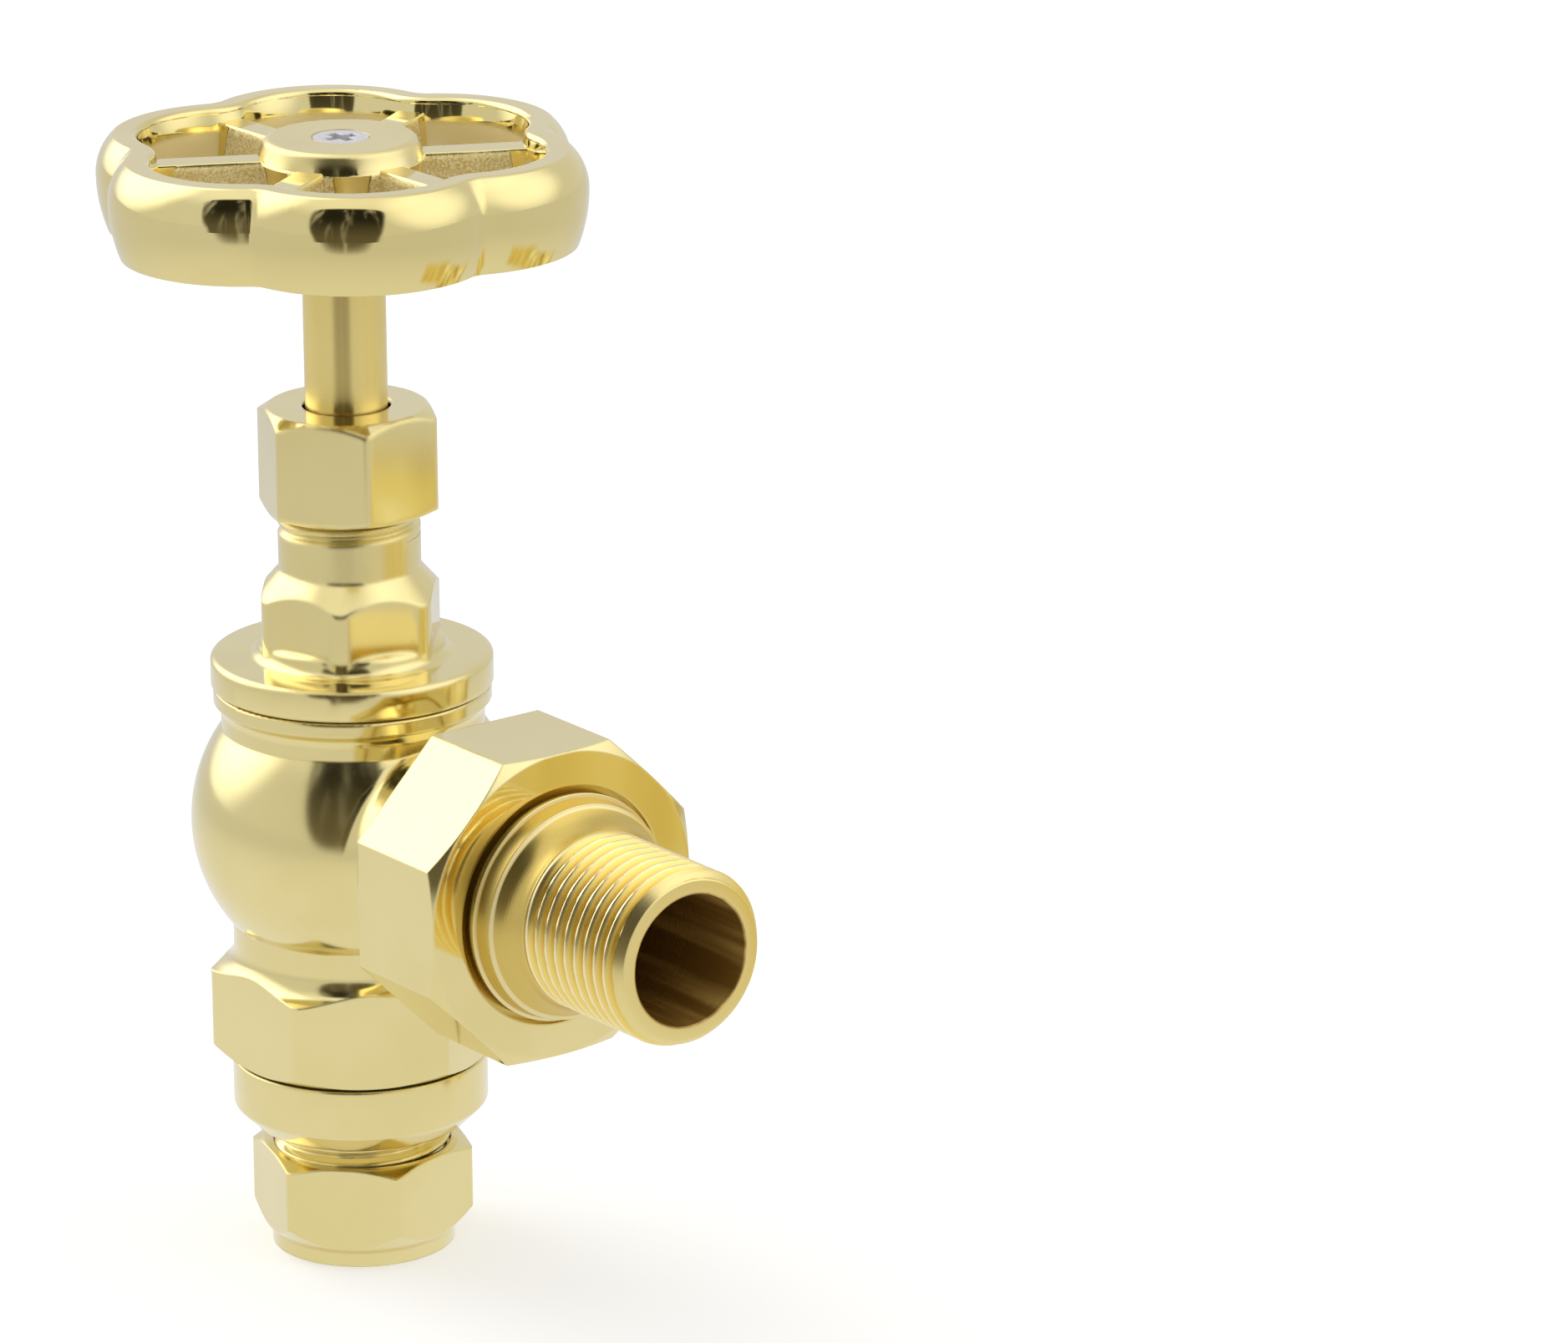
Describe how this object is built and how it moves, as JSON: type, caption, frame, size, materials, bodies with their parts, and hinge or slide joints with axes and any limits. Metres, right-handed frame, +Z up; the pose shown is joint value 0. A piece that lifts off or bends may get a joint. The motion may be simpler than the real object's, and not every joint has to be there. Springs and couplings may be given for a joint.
{
  "type": "manual radiator valve",
  "caption": "Polished brass angle radiator valve: lobed handwheel on a rising spindle, compression inlet for pipe below, union nut and threaded radiator tail at the side.",
  "frame": {"origin": "centre of the pipe inlet's mouth, in the face of the compression nut that the valve stands on", "axes": "+Z up the spindle towards the handwheel, +X out along the radiator tail"},
  "size_m": [0.0927, 0.0584, 0.1345],
  "materials": {
    "polished_brass": "mirror polished",
    "cast_brass": "polished outside and on the lip, as cast between the spokes",
    "turned_brass": "satin, as turned",
    "bright_steel": "bright",
    "black_rubber": "matt",
    "white_packing": "matt"
  },
  "bodies": {
    "valve": {"valve_body": "polished_brass", "inlet_adaptor": "polished_brass", "adaptor_seal": "black_rubber", "bonnet": "polished_brass", "bonnet_gasket": "black_rubber", "gland_washer": "turned_brass", "packing_ring_1": "white_packing", "packing_ring_2": "white_packing", "packing_ring_3": "white_packing"},
    "jumper": {"jumper": "turned_brass", "seat_washer": "black_rubber", "washer_plate": "turned_brass", "washer_nut": "turned_brass"},
    "spindle": {"spindle": "turned_brass", "jumper_pin": "turned_brass", "handwheel": "cast_brass", "wheel_screw": "bright_steel"},
    "tail": {"tailpiece": "turned_brass", "tail_seal": "black_rubber"},
    "union_nut": {"union_nut": "polished_brass"},
    "olive": {"olive": "turned_brass"},
    "compression_nut": {"compression_nut": "polished_brass"},
    "gland_follower": {"gland_follower": "turned_brass"},
    "gland_nut": {"gland_nut": "polished_brass"}
  },
  "joints": [
    {"name": "jumper_lift", "type": "slide", "parent": "valve", "child": "jumper", "axis": [0, 0, 1], "range_m": [-0.003, 0.003]},
    {"name": "spindle_turn", "type": "hinge", "parent": "jumper", "child": "spindle", "pos_m": [0, 0, 0.1], "axis": [0, 0, 1], "range_deg": [-540, 540]},
    {"name": "tail_draw", "type": "slide", "parent": "valve", "child": "tail", "axis": [1, 0, 0], "range_m": [0, 0.00693]},
    {"name": "union_nut_turn", "type": "hinge", "parent": "tail", "child": "union_nut", "pos_m": [0.033, 0, 0.05275], "axis": [1, 0, 0], "range_deg": [0, 1080]},
    {"name": "olive_draw", "type": "slide", "parent": "valve", "child": "olive", "axis": [0, 0, -1], "range_m": [0, 0.00635]},
    {"name": "compression_nut_turn", "type": "hinge", "parent": "olive", "child": "compression_nut", "pos_m": [0, 0, 0.006], "axis": [0, 0, -1], "range_deg": [0, 1260]},
    {"name": "gland_draw", "type": "slide", "parent": "valve", "child": "gland_follower", "axis": [0, 0, 1], "range_m": [0, 0.0045]},
    {"name": "gland_nut_turn", "type": "hinge", "parent": "gland_follower", "child": "gland_nut", "pos_m": [0, 0, 0.096], "axis": [0, 0, 1], "range_deg": [0, 1080]}
  ],
  "couplings": [
    {"joint": "spindle_turn", "follows": "jumper_lift", "rad_per_m": 3141.6},
    {"joint": "union_nut_turn", "follows": "tail_draw", "rad_per_m": 2721.2},
    {"joint": "compression_nut_turn", "follows": "olive_draw", "rad_per_m": 3463.7},
    {"joint": "gland_nut_turn", "follows": "gland_draw", "rad_per_m": 4188.8}
  ]
}
